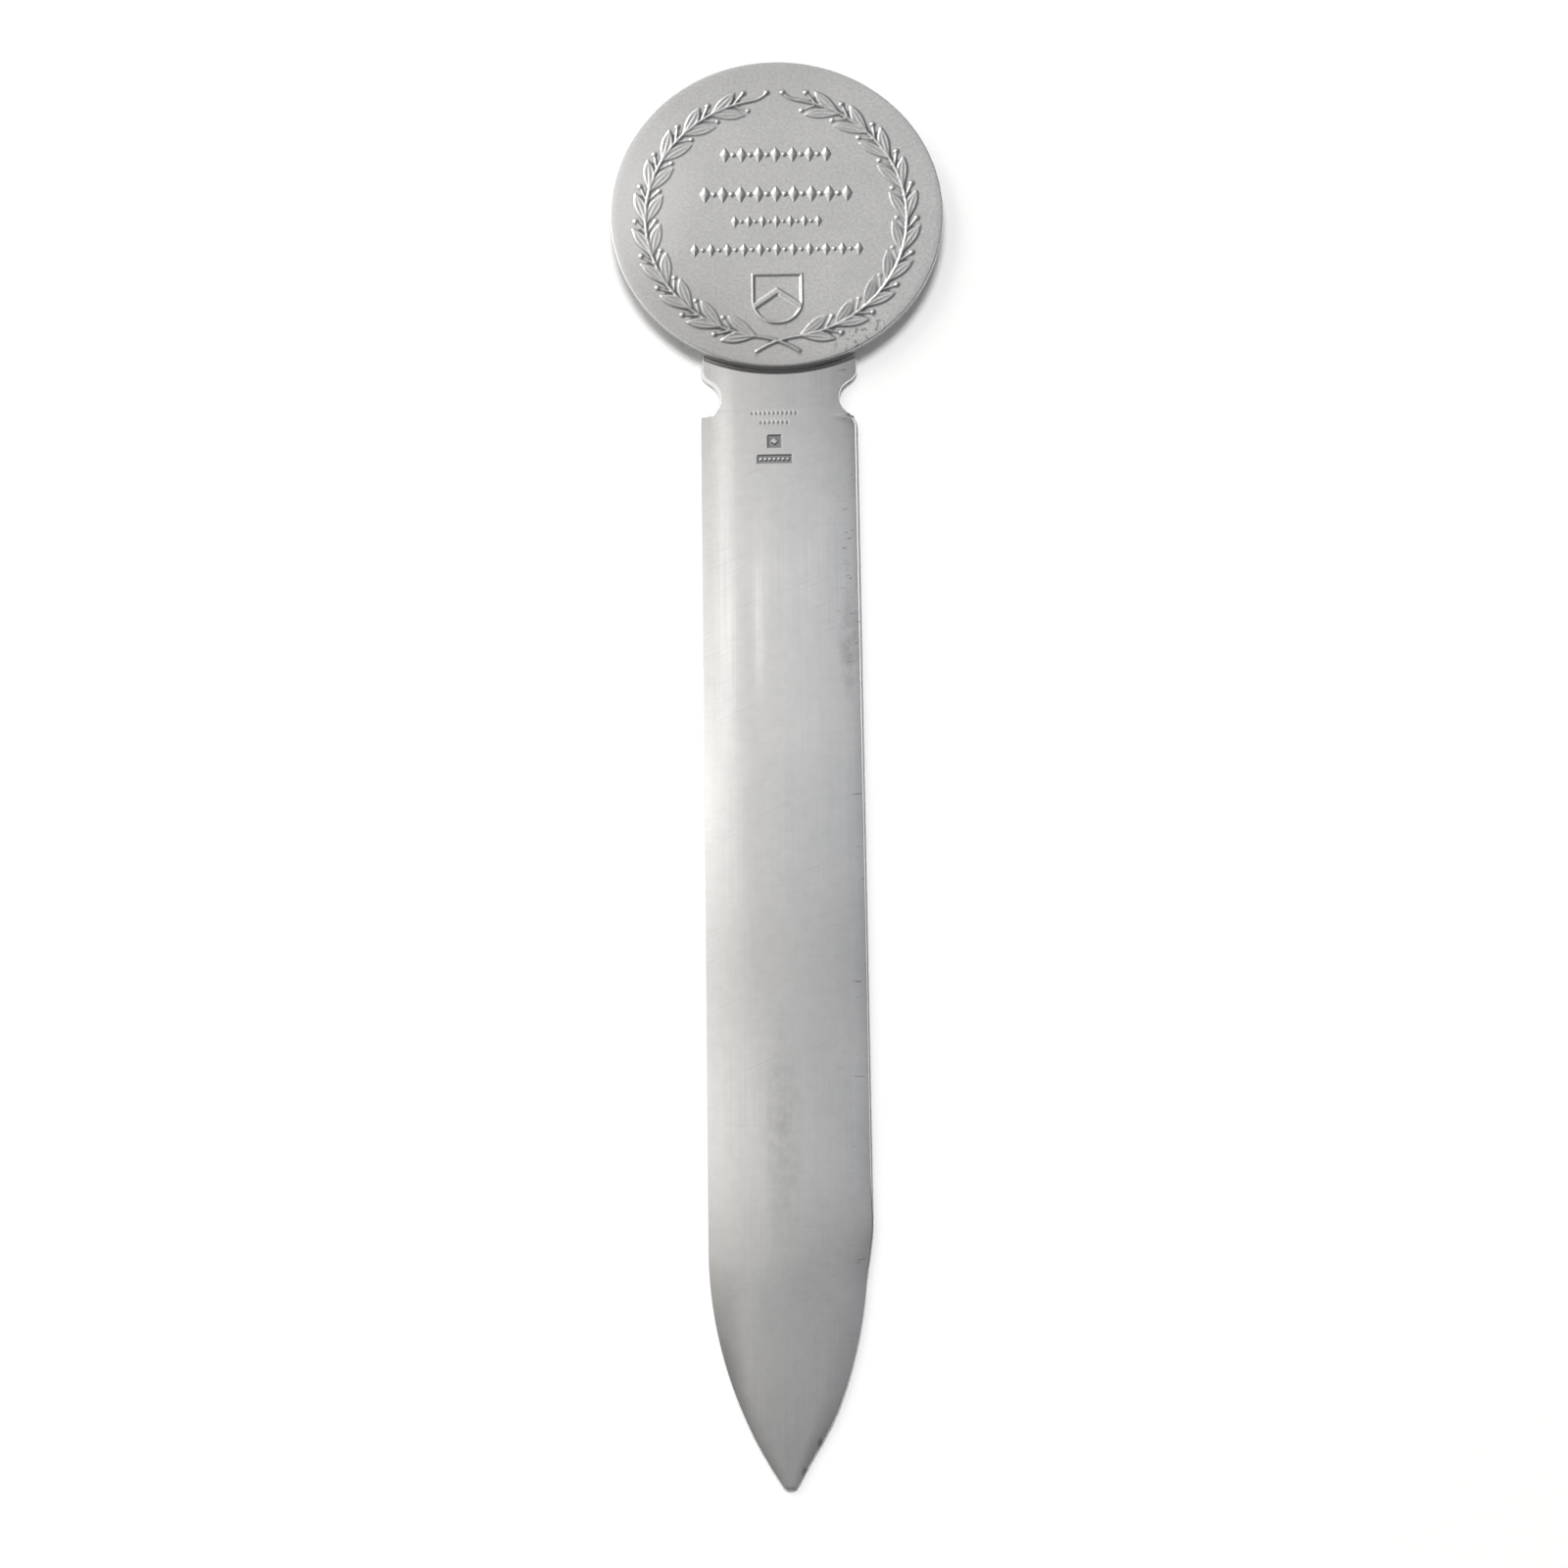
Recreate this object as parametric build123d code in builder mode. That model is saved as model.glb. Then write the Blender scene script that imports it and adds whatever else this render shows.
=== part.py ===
from build123d import *
import os
from math import cos, degrees, radians, sin

# A paper knife: a crowned, pointed blade whose head carries a round struck medal.
# It lies on its flat back. The origin is under the middle of its length, +Y runs from the
# point to the medal and +Z is up. Driving dimensions come first, in millimetres and degrees.

# Whole knife
overall_length = 215.9

# Medal
medal_diameter = 50.0
medal_thickness = 1.5
medal_edge_round = 0.25
relief_height = 0.45

# Blade
blade_width = 23.2
head_thickness = 1.6
side_thickness = 0.9
tip_thickness = 0.55
tip_side_thickness = 0.4
point_length = 34.9
thinning_above_point = 2.0
nose_radius = 1.2
front_edge_round = 0.25
back_edge_round = 0.15
tongue_past_centre = 8.0
bar_spare = 3.0

# Notches between the medal and the shoulders
notch_below_medal = 4.1
notch_radius = 2.9
notch_depth = 2.65
lobe_round = 1.4
shoulder_round = 0.3

# Punched marks on the front of the blade
mark_depth = 0.12
square_mark_side = 2.0
square_mark_below_medal = 11.3
bar_mark_length = 5.1
bar_mark_width = 1.3
bar_mark_below_medal = 14.1
marks_left_of_axis = 0.75

# Solder between the tongue and the medal's back
solder_film = 0.1
solder_leg = 1.0
solder_depth = 0.9
solder_inset = 0.5
solder_slope = 45.0

# Wreath on the medal's face: two branches that cross below and stay open above
wreath_margin = 5.4
wreath_drop = 0.85
stem_top_angle = 80.0
stem_foot_angle = -82.0
first_node_angle = -79.0
node_step = 15.6
node_count = 10
stem_width = 0.6
tail_length = 5.9
tail_drop = 2.3
curl_length = 2.4
curl_rise = 0.95
leaf_width = 1.5
leaf_reach = 0.9
leaf_spread = 25.0
berry_diameter = 0.72
berry_spread = 1.5

# Rows of lozenges and pellets, from the top row to the bottom one, placed from the medal's centre
row_places = (9.5, 3.0, -1.5, -6.1)
row_lengths = (17.8, 24.0, 14.6, 27.0)
lozenge_heights = (2.6, 2.8, 2.0, 2.2)
lozenge_counts = (7, 9, 7, 11)
lozenge_slimness = 0.62
pellet_share = 0.36

# Shield below the rows
shield_width = 7.9
shield_height = 8.4
shield_below_centre = 14.1
shield_shoulder = 4.6
shield_border = 0.6
chevron_width = 1.2
chevron_drop = 2.4

# Places that follow from the driving dimensions
half_width = blade_width / 2
medal_radius = medal_diameter / 2
tip_y = -overall_length / 2
medal_y = overall_length / 2 - medal_radius
medal_back = head_thickness + solder_film
medal_face = medal_back + medal_thickness
below_medal = medal_y - medal_radius
tongue_end = medal_y + tongue_past_centre
notch_y = below_medal - notch_below_medal
point_y = tip_y + point_length
thinning_y = point_y + thinning_above_point

# The front thins along a straight slope from above the point to the tip, and on to the bar's end
past_tip = 1 + bar_spare / (thinning_y - tip_y)
bar_tip_thickness = head_thickness - past_tip * (head_thickness - tip_thickness)
bar_tip_side_thickness = side_thickness - past_tip * (side_thickness - tip_side_thickness)

# The side arcs of the point run tangent from the straight sides into the round nose
point_radius = (half_width**2 + (point_length - nose_radius) ** 2 - nose_radius**2) / (
    2 * (half_width - nose_radius)
)
nose_centre = Vector(0, tip_y + nose_radius)
side_arc_centre = Vector(half_width - point_radius, point_y)
nose_start = nose_centre + (nose_centre - side_arc_centre).normalized() * nose_radius

# The wreath's nodes follow each other up the stem, and a leaf nearly reaches the next node
wreath_y = medal_y - wreath_drop
stem_radius = medal_radius - wreath_margin
node_angles = [first_node_angle + node_step * node for node in range(node_count)]
leaf_length = leaf_reach * radians(node_step) * stem_radius
leaf_follow = degrees(leaf_length / stem_radius) / 2


def crown_at(x, middle, side):
    """Height of the crowned front at x: a parabola from middle on the axis to side at the edge."""
    return middle - (middle - side) * (x / half_width) ** 2


# Blade
bar_half = half_width + bar_spare
with BuildPart() as blade:
    # A bar with a flat back: its front is crowned, and thins over the point
    for station_y, middle, side in (
        (tongue_end + bar_spare, head_thickness, side_thickness),
        (thinning_y, head_thickness, side_thickness),
        (tip_y - bar_spare, bar_tip_thickness, bar_tip_side_thickness),
    ):
        with BuildSketch(Plane.XZ.offset(-station_y)):
            with BuildLine():
                bar_edge = crown_at(bar_half, middle, side)
                Polyline((-bar_half, bar_edge), (-bar_half, 0), (bar_half, 0), (bar_half, bar_edge))
                ThreePointArc((bar_half, bar_edge), (0, middle), (-bar_half, bar_edge))
            make_face()
    loft(ruled=True)

    # Outline: round tongue, straight sides with a notch in each, and the pointed end
    with BuildSketch() as outline:
        with BuildLine():
            tongue = TangentArc((0, tongue_end), (half_width, tongue_end - half_width), tangent=(1, 0))
            straight = Line(tongue @ 1, (half_width, point_y))
            point = TangentArc(straight @ 1, nose_start, tangent=straight % 1)
            TangentArc(point @ 1, (0, tip_y), tangent=point % 1)
            mirror(about=Plane.YZ)
        make_face()
        notch_x = half_width - notch_depth + notch_radius
        with Locations((notch_x, notch_y), (-notch_x, notch_y)):
            Circle(notch_radius, mode=Mode.SUBTRACT)
        above_notch = outline.vertices().filter_by_position(Axis.Y, notch_y, notch_y + notch_radius)
        fillet(above_notch.group_by(Axis.Y)[-1], radius=lobe_round)
        below_notch = outline.vertices().filter_by_position(Axis.Y, notch_y - notch_radius, notch_y)
        fillet(below_notch.group_by(Axis.Y)[0], radius=shoulder_round)
    extrude(amount=2 * head_thickness, mode=Mode.INTERSECT)

    # Rounded edges all round, front and back
    front = blade.faces().filter_by(lambda face: face.normal_at().Z > 0.5)
    walls = blade.faces().filter_by(lambda face: abs(face.normal_at().Z) < 0.1)
    fillet(front.edges() & walls.edges(), radius=front_edge_round)
    fillet(blade.faces().sort_by(Axis.Z)[0].outer_wire().edges(), radius=back_edge_round)

    # Punched marks
    with BuildSketch(Plane.XY.offset(head_thickness - mark_depth)):
        with Locations((-marks_left_of_axis, below_medal - square_mark_below_medal)):
            Rectangle(square_mark_side, square_mark_side)
        with Locations((-marks_left_of_axis, below_medal - bar_mark_below_medal)):
            Rectangle(bar_mark_length, bar_mark_width)
    extrude(amount=2 * mark_depth, mode=Mode.SUBTRACT)

# One wreath leaf, pointed at both ends, along +X from its stalk
with BuildSketch() as leaf:
    with BuildLine():
        upper = ThreePointArc((0, 0), (leaf_length / 2, leaf_width / 2), (leaf_length, 0))
        ThreePointArc(upper @ 1, (leaf_length / 2, -leaf_width / 2), upper @ 0)
    make_face()


def on_branch(angle, outward=0.0, turn=0.0):
    """A place beside the right-hand stem, turned from the direction in which the stem grows."""
    reach = stem_radius + outward
    return Location(
        (reach * cos(radians(angle)), wreath_y + reach * sin(radians(angle)), 0), (0, 0, angle + 90 + turn)
    )


# The right-hand branch: a stem whose tail crosses the axis below and whose top curls out, pairs of leaves,
# and pairs of berries between them
curl_end = (on_branch(stem_top_angle) * Pos(curl_length, -curl_rise)).position
with BuildSketch() as branch:
    with BuildLine():
        stem = CenterArc((0, wreath_y), stem_radius, stem_foot_angle, stem_top_angle - stem_foot_angle)
        TangentArc(stem @ 0, stem @ 0 - Vector(tail_length, tail_drop), tangent=-(stem % 0))
        TangentArc(stem @ 1, curl_end, tangent=stem % 1)
    trace(line_width=stem_width)
    with Locations(*[on_branch(angle, 0, leaf_spread - leaf_follow) for angle in node_angles]):
        add(leaf.sketch)
    with Locations(*[on_branch(angle, 0, -leaf_spread - leaf_follow) for angle in node_angles]):
        add(leaf.sketch)
    for outward in (berry_spread, -berry_spread):
        with Locations(*[on_branch(angle + node_step, outward) for angle in node_angles]):
            Circle(berry_diameter / 2)

# Shield: a raised border and a chevron
with BuildSketch() as shield:
    with BuildLine():
        edge = Polyline(
            (0, shield_height / 2),
            (shield_width / 2, shield_height / 2),
            (shield_width / 2, shield_height / 2 - shield_shoulder),
        )
        TangentArc(edge @ 1, (0, -shield_height / 2), tangent=edge % 1)
        mirror(about=Plane.YZ)
    make_face()
    offset(amount=-shield_border, kind=Kind.INTERSECTION, mode=Mode.SUBTRACT)
    with BuildLine():
        Line((0, chevron_drop / 2), (shield_width / 2 - shield_border, -chevron_drop / 2))
        mirror(about=Plane.YZ)
    trace(line_width=chevron_width)

# Medal
with BuildPart() as medal:
    with BuildSketch(Plane.XY.offset(medal_back)):
        with Locations((0, medal_y)):
            Circle(medal_radius)
    extrude(amount=medal_thickness)
    fillet(medal.edges().filter_by(GeomType.CIRCLE), radius=medal_edge_round)
    # The relief stands on the face: wreath, shield, and rows of lozenges with pellets between them
    with BuildSketch(Plane.XY.offset(medal_face)):
        add(branch.sketch)
        mirror(branch.sketch, about=Plane.YZ)
        with Locations((0, medal_y - shield_below_centre)):
            add(shield.sketch)
        for place, length, height, count in zip(row_places, row_lengths, lozenge_heights, lozenge_counts):
            half_tall = height / 2
            half_wide = half_tall * lozenge_slimness
            with Locations((0, medal_y + place)):
                with GridLocations(length / count, 0, count, 1):
                    Polygon((0, half_tall), (-half_wide, 0), (0, -half_tall), (half_wide, 0))
                with GridLocations(length / count, 0, count - 1, 1):
                    Circle(half_tall * pellet_share)
    extrude(amount=relief_height)

# Solder: a film on the tongue's crown that thickens to its sides and runs out as a sloped fillet along its edges
with BuildPart() as solder:
    with BuildSketch(Plane.XY.offset(medal_back)):
        with Locations((0, tongue_end - half_width)):
            Circle(half_width + solder_leg)
            Rectangle(2 * (half_width + solder_leg), medal_diameter, align=(Align.CENTER, Align.MAX))
        with Locations((0, medal_y)):
            Circle(medal_radius - solder_inset, mode=Mode.INTERSECT)
    extrude(amount=-solder_depth, taper=solder_slope)
    add(blade.part, mode=Mode.SUBTRACT)

# One file for each piece
os.makedirs("parts", exist_ok=True)
for piece, name in ((blade, "blade"), (medal, "medal"), (solder, "solder_joint")):
    piece.part.label = name
    export_step(piece.part, f"parts/{name}.step")
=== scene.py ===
"""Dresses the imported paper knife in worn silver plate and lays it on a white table.

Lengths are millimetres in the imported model's frame until a mesh is made: x runs across the blade, y from the
point to the medal, z up. The solids' overall sizes and places are read from the frame.
"""
from math import cos, pi, radians, sin, sqrt

import bpy
import numpy as np
from mathutils import Matrix, Vector


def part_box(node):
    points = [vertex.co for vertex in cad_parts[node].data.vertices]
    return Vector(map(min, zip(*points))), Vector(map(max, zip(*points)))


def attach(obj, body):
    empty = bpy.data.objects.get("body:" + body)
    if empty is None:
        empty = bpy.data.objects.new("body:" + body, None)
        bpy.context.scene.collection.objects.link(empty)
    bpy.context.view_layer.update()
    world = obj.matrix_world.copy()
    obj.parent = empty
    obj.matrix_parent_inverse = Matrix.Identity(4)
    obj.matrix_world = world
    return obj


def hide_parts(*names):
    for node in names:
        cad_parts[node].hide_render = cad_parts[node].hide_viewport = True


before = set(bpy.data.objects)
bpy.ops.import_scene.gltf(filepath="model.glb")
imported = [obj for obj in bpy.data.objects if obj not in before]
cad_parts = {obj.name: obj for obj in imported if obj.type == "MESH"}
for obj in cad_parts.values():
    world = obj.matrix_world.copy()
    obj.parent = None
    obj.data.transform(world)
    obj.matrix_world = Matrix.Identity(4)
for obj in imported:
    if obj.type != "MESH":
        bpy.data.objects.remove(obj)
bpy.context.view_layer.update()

MM = 0.001

# Sizes from the frame
blade_low, blade_high = (np.array(corner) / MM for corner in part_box("blade"))
medal_low, medal_high = (np.array(corner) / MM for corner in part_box("medal"))
half_width = (blade_high[0] - blade_low[0]) / 2
tip_y = blade_low[1]
tongue_end = blade_high[1]
head_thickness = blade_high[2]
medal_radius = (medal_high[0] - medal_low[0]) / 2
medal_y = (medal_low[1] + medal_high[1]) / 2
medal_back = medal_low[2]
relief_top = medal_high[2]

# Blade
side_thickness = 0.9
tip_thickness = 0.55
tip_side_thickness = 0.4
thinning_above_point = 9.0
thinning_run_in = 14.0
point_length = 34.9
nose_radius = 1.2
point_lean = 0.58
right_wear = 0.95
right_wear_above = 3.15
right_wear_below = 7.35
right_wear_fade = 0.75
dent_depth = 0.42
dent_above_tip = 3.9
dent_length = 4.0
shoulder_wear = 0.5
shoulder_wear_length = 0.9
shoulder_wear_rise = 0.35
shoulder_wear_start = 0.4
edge_round = 0.06
right_bevel_width = 0.48
right_bevel_slope = 1.35
worn_bevel_share = 0.66
worn_bevel_below_medal = 100.0
full_bevel_below_medal = 25.0
bevel_run_in = 0.8
bevel_run_out = 9.0
side_blend = 1.0
left_head_bevel_width = 0.4
right_head_bevel_width = 0.16
head_bevel_slope = 1.35
head_side_blend = 2.0
shoulder_blend = 0.2
bevel_round = 0.03
back_edge_round = 0.2
point_back_round = 0.08
edge_line_width = 0.24
edge_line_core = 0.6
right_ease_width = 1.9
right_ease_drop = 0.05
point_ease_width = 5.0
point_ease_drop = 0.12
point_ease_run = 26.0
point_ease_least = 0.01

# Notches between the medal and the shoulders
notch_below_medal = 4.1
notch_radius = 2.9
notch_depth = 2.65
lobe_round = 1.4
shoulder_round = 0.3

# Punched marks on the front of the blade, placed below the medal's edge
mark_depth = 0.07
mark_wall = 0.2
# The sunk marks are painted darker, as shade, by this gain on their depth
mark_shade_gain = 1.8
square_mark_side = 2.0
square_mark_place = 11.3
bar_mark_length = 5.1
bar_mark_width = 1.3
bar_mark_place = 14.1
mark_lozenge_top = 0.3
mark_lozenge_foot = 0.75
mark_pellet_pitch = 0.66
mark_pellet_count = 7
mark_pellet_top = 0.1
mark_pellet_foot = 0.3
marks_left_of_axis = 0.75
small_row_places = (6.8, 8.3)
small_row_counts = (11, 7)
small_pitch = 0.65
small_half_tall = 0.62
small_half_wide = 0.3
small_depth = 0.04
small_floor = 0.3

# Medal and its wreath
medal_edge_round = 0.26
medal_back_round = 0.08
relief_height = 0.45
wreath_inner_radius = 16.2
wreath_outer_radius = 23.2
wreath_margin = 5.4
wreath_drop = 0.85
stem_top_angle = 80.0
stem_foot_angle = -82.0
first_node_angle = -79.0
node_step = 15.6
node_count = 10
stem_width = 0.52
tail_length = 5.9
tail_drop = 2.3
curl_length = 2.4
curl_rise = 0.95
curl_width = 0.416
curl_height = 0.162
leaf_length = 5.6
leaf_setback = 2.2
leaf_width = 1.7
leaf_spread = 22.0
leaf_bow = 0.22
left_leaf_breadth = 1.06
inner_share = 0.66
rubbed_share = 0.32
rubbed_angle = -48.0
rubbed_reach = 32.0
berry_radius = 0.36
berry_spread = 1.5
stalk_start = 0.62
stalk_width = 0.32
stem_height = 0.18
leaf_height = 0.1
leaf_rim_height = 0.08
leaf_rim_place = 0.78
leaf_rim_spread = 0.15
leaf_rib_height = 0.09
leaf_rib_spread = 0.12
stalk_height = 0.16
berry_height = 0.28
# The wreath's hollows get painted shade and tarnish, and inside the stem a share of it
hollow_depth = 0.05
low_relief = 0.03
clear_relief = 0.1
inner_shade_and_tarnish = 0.45

# Rows of lozenges and pellets, from the top row to the bottom one, placed from the medal's centre
row_places = (9.5, 3.0, -1.5, -6.1)
row_lengths = (17.8, 24.0, 14.6, 27.0)
lozenge_heights = (2.6, 2.8, 2.0, 2.2)
lozenge_counts = (7, 9, 7, 11)
lozenge_slimness = 0.62
lozenge_roundness = 1.2
lozenge_rise = 0.3
pellet_share = 0.36
pellet_roundness = 2.0
pellet_rise = 0.26

# Shield below the rows
shield_width = 7.9
shield_height = 8.4
shield_below_centre = 14.1
shield_shoulder = 4.6
shield_border = 0.6
shield_wall = 0.16
shield_border_wall = 0.2
shield_panel_rise = 0.1
shield_relief_rise = 0.28
shield_front_sunk = 0.05
shield_back_sunk = 0.15
chevron_width = 1.2
chevron_drop = 2.4
chevron_wall = 0.3

# The studio in stops (place along y, height): its brightness on the axis, from the dark front over the
# ceiling and its beam to the wall behind, what the near left adds to it, and how fast the far left brightens
room_axis = (
    (0.06, 0.2), (0.1, 0.4), (0.125, 0.45), (0.21, 0.59), (0.243, 0.66), (0.253, 0.57), (0.268, 0.54),
    (0.28, 0.7), (0.31, 0.76), (0.332, 0.76), (0.35, 0.87), (0.376, 0.66), (0.39, 0.5), (0.44, 0.72),
)
room_near_left = (
    (0.125, 0.03), (0.15, 0.11), (0.235, 0.13), (0.26, 0.05), (0.29, 0.02), (0.35, 0.0), (0.385, 0.1),
)
room_far_left = (
    (0.12, -2.5), (0.15, -0.8), (0.185, 0.6), (0.225, 1.5), (0.262, 1.5), (0.28, 3.4), (0.3, 3.9),
    (0.32, 3.4), (0.34, 1.8), (0.365, 0.2),
)

# Where the studio changes along x, and by how much
room_wall_x = -0.6
room_far_x = -0.35
room_near_x = -0.1
room_right_x = 0.1
room_wall_gain = 1.5
room_right_loss = 0.6
room_far_right_slope = 0.7
room_darkest = 0.2
room_brightest = 1.35
room_on_table = 0.5

# Places that follow from these
medal_face = relief_top - relief_height
below_medal = medal_y - medal_radius
tongue_y = tongue_end - half_width
notch_x = half_width - notch_depth + notch_radius
notch_y = below_medal - notch_below_medal
shoulder_y = notch_y - sqrt(notch_radius**2 - (notch_radius - notch_depth) ** 2)
point_y = tip_y + point_length
thinning_y = point_y + thinning_above_point
nose_y = tip_y + nose_radius
point_radius = (half_width**2 + (point_length - nose_radius) ** 2 - nose_radius**2) / (
    2 * (half_width - nose_radius)
)
stem_radius = medal_radius - wreath_margin


def linear(hex_colour):
    """An sRGB hex value as linear red, green, blue and alpha."""
    levels = np.array([int(hex_colour[at : at + 2], 16) for at in (1, 3, 5)]) / 255
    values = np.where(levels <= 0.04045, levels / 12.92, ((levels + 0.055) / 1.055) ** 2.4)
    return (*values.tolist(), 1.0)


def smooth_step(value, start, end):
    """0 up to start, 1 from end on, and 3t^2 - 2t^3 between them."""
    t = np.clip((value - start) / (end - start), 0, 1)
    return t * t * (3 - 2 * t)


def ridge(distance, half, height):
    """A rounded ridge: height * (1 - (distance / half)^2), and nothing past its half width."""
    return height * np.clip(1 - (distance / half) ** 2, 0, None)


def quarter_round(edge, radius):
    """How far a rounded edge has dropped at a distance in from it: a quarter circle of that radius."""
    inward = np.clip(edge / radius, 0, 1)
    return radius * (1 - np.sqrt(1 - (1 - inward) ** 2))


def eased_ramp(value, run):
    """0 below 0, then a parabola, value^2 / (2 * run), that turns at run into the slope value - run / 2."""
    turned = np.clip(value, 0, run)
    return turned**2 / (2 * run) + np.clip(value - run, 0, None)


def add_piece(name, points, faces, material):
    """A mesh object from points in millimetres, smooth shaded, riding on the only body."""
    mesh = bpy.data.meshes.new(name)
    mesh.from_pydata((points * MM).tolist(), [], faces)
    mesh.polygons.foreach_set("use_smooth", np.ones(len(faces), bool))
    mesh.materials.append(material)
    mesh.update()
    piece = bpy.data.objects.new(name, mesh)
    bpy.context.scene.collection.objects.link(piece)
    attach(piece, "root")
    return piece


def add_layer(piece, name, values):
    """A number at each of the piece's points, for its material to read."""
    layer = piece.data.attributes.new(name, "FLOAT", "POINT")
    layer.data.foreach_set("value", np.ravel(values))


def loop_faces(rows, ring):
    """Quads between rows of closed rings: corner (i, j) is point i * ring + j, and j wraps round."""
    i, j = np.meshgrid(np.arange(rows - 1), np.arange(ring), indexing="ij")
    after = (j + 1) % ring
    corners = (i * ring + j, i * ring + after, (i + 1) * ring + after, (i + 1) * ring + j)
    return np.stack(corners, axis=-1).reshape(-1, 4)


def closed_plate(rows_y, front_x, front_z, back_x, back_z):
    """A closed plate: each row is a ring that runs over the front from left to right and home along the back.

    The first and the last row are closed with one face each.
    """
    x = np.hstack([front_x, back_x[:, ::-1]])
    z = np.hstack([front_z, back_z[:, ::-1]])
    rows, ring = x.shape
    y = np.repeat(rows_y[:, None], ring, axis=1)
    points = np.stack([x, y, z], axis=-1).reshape(-1, 3)
    first_cap = list(range(ring - 1, -1, -1))
    last_cap = list(range((rows - 1) * ring, rows * ring))
    return points, loop_faces(rows, ring).tolist() + [first_cap, last_cap]


def columns(half_widths, edge_steps, core_widths, core, outer):
    """x across each row: the core's fractions of a core width, which ignores notches, then the outer
    fractions of the way from there to the edge, then fixed steps in from the edge.

    The steps shrink with a row that is narrower than three times their reach, and the core keeps within nine
    tenths of the innermost step.
    """
    reach = edge_steps[-1]
    shrink = np.minimum(1, half_widths / (3 * reach))[:, None]
    rim = half_widths[:, None] - shrink * edge_steps[::-1]
    inside = np.minimum(core_widths[:, None], 0.9 * rim[:, :1])
    between = inside + (rim[:, :1] - inside) * outer
    right = np.hstack([between, rim])
    return np.hstack([-right[:, ::-1], inside * core, right])


# Blade


def rounded_corner(first, second, radius):
    """Distance in from an edge with a rounded corner, from the distances to its two sides: the nearer of
    them, or within radius of both, radius less the distance to the arc's centre."""
    arc = radius - np.hypot(radius - first, radius - second)
    return np.where((first < radius) & (second < radius), arc, np.minimum(first, second))


def worn_off(across, y):
    """How far wear has moved the point to the left, with across from -1 at its left edge to 1 at its right
    one: the left edge leans evenly towards the tip, and the right one is worn back from just above the point,
    less so towards the tip, and has a shallow dent near it."""
    to_tip = np.clip((point_y - y) / point_length, 0, 1)
    lean = point_lean * to_tip
    onset = smooth_step(point_y - y, -right_wear_above, right_wear_below)
    wear = right_wear * onset * (1 - right_wear_fade * to_tip)
    dent = dent_depth * np.exp(-(((y - tip_y - dent_above_tip) / dent_length) ** 2))
    right = (across + 1) / 2
    return lean * (1 - right) + (wear + dent) * right


def shoulder_worn(across, y):
    """How far the corner of the right shoulder is worn back to the left: a bell, e^-(y / length)^2, below the
    corner, gone a little above it and towards the middle of the blade."""
    bell = np.exp(-(((y - shoulder_y) / shoulder_wear_length) ** 2))
    below = smooth_step(shoulder_y + shoulder_wear_rise - y, 0, shoulder_wear_rise)
    return shoulder_wear * bell * below * smooth_step(across, shoulder_wear_start, 1)


def blade_edge(x, y):
    """Distance in from the blade's outline: straight sides, a half circle at the tongue, two side arcs that
    run tangent into the round nose, and a round notch in each side."""
    across = np.abs(x)
    tongue = half_width - np.hypot(across, np.maximum(y - tongue_y, 0))
    point = point_radius - np.hypot(across + point_radius - half_width, np.minimum(y - point_y, 0))
    nose = nose_radius - np.hypot(across, y - nose_y)
    in_nose = (nose_y - y) * (point_radius - half_width) > across * (point_y - nose_y)
    body = np.minimum(tongue, np.where(in_nose, nose, point))
    notch = np.hypot(across - notch_x, y - notch_y) - notch_radius
    return rounded_corner(body, notch, np.where(y > notch_y, lobe_round, shoulder_round))


def half_width_at(y):
    """Half the blade's width at each y, where the distance to the outline is zero, found by halving."""
    inside = np.zeros_like(y)
    outside = np.full_like(y, half_width)
    for _ in range(40):
        middle = (inside + outside) / 2
        within = blade_edge(middle, y) > 0
        inside = np.where(within, middle, inside)
        outside = np.where(within, outside, middle)
    return (inside + outside) / 2


def box_distance(x, y, half_long, half_tall):
    """Distance out of a rectangle about the origin, negative inside it."""
    return np.maximum(np.abs(x) - half_long, np.abs(y) - half_tall)


def from_nearest(x, pitch, count):
    """x measured from the nearest of an odd count of places, a pitch apart, in a row about the origin."""
    return x - np.clip(np.round(x / pitch), -(count // 2), count // 2) * pitch


def blade_marks(x, y):
    """Depth of the punched marks: two rows of small lozenges, a square with a lozenge left standing in it,
    and a bar with a row of pellets left standing in it."""
    x = x + marks_left_of_axis
    depth = np.zeros_like(x)
    for place, count in zip(small_row_places, small_row_counts):
        across = np.abs(from_nearest(x, small_pitch, count)) / small_half_wide
        along = np.abs(y - (below_medal - place)) / small_half_tall
        depth = np.maximum(depth, small_depth * (1 - smooth_step(across + along, small_floor, 1)))
    square_y = y - (below_medal - square_mark_place)
    square_out = box_distance(x, square_y, square_mark_side / 2, square_mark_side / 2)
    square = 1 - smooth_step(square_out, -mark_wall / 2, mark_wall / 2)
    lozenge = 1 - smooth_step(np.abs(x) + np.abs(square_y), mark_lozenge_top, mark_lozenge_foot)
    bar_y = y - (below_medal - bar_mark_place)
    bar_out = box_distance(x, bar_y, bar_mark_length / 2, bar_mark_width / 2)
    bar = 1 - smooth_step(bar_out, -mark_wall / 2, mark_wall / 2)
    pellet_x = from_nearest(x, mark_pellet_pitch, mark_pellet_count)
    pellets = 1 - smooth_step(np.hypot(pellet_x, bar_y), mark_pellet_top, mark_pellet_foot)
    return np.maximum(depth, mark_depth * np.maximum(square * (1 - lozenge), bar * (1 - pellets)))


def thinning(y):
    """How far the front has thinned at y, from 0 on the straight blade to 1 at the tip: an eased ramp."""
    return eased_ramp(thinning_y - y, thinning_run_in) / (thinning_y - tip_y - thinning_run_in / 2)


def at_point(y):
    """0 on the straight blade and 1 on most of the point."""
    return smooth_step(point_y - y, -point_ease_run / 2, point_ease_run / 2)


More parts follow.
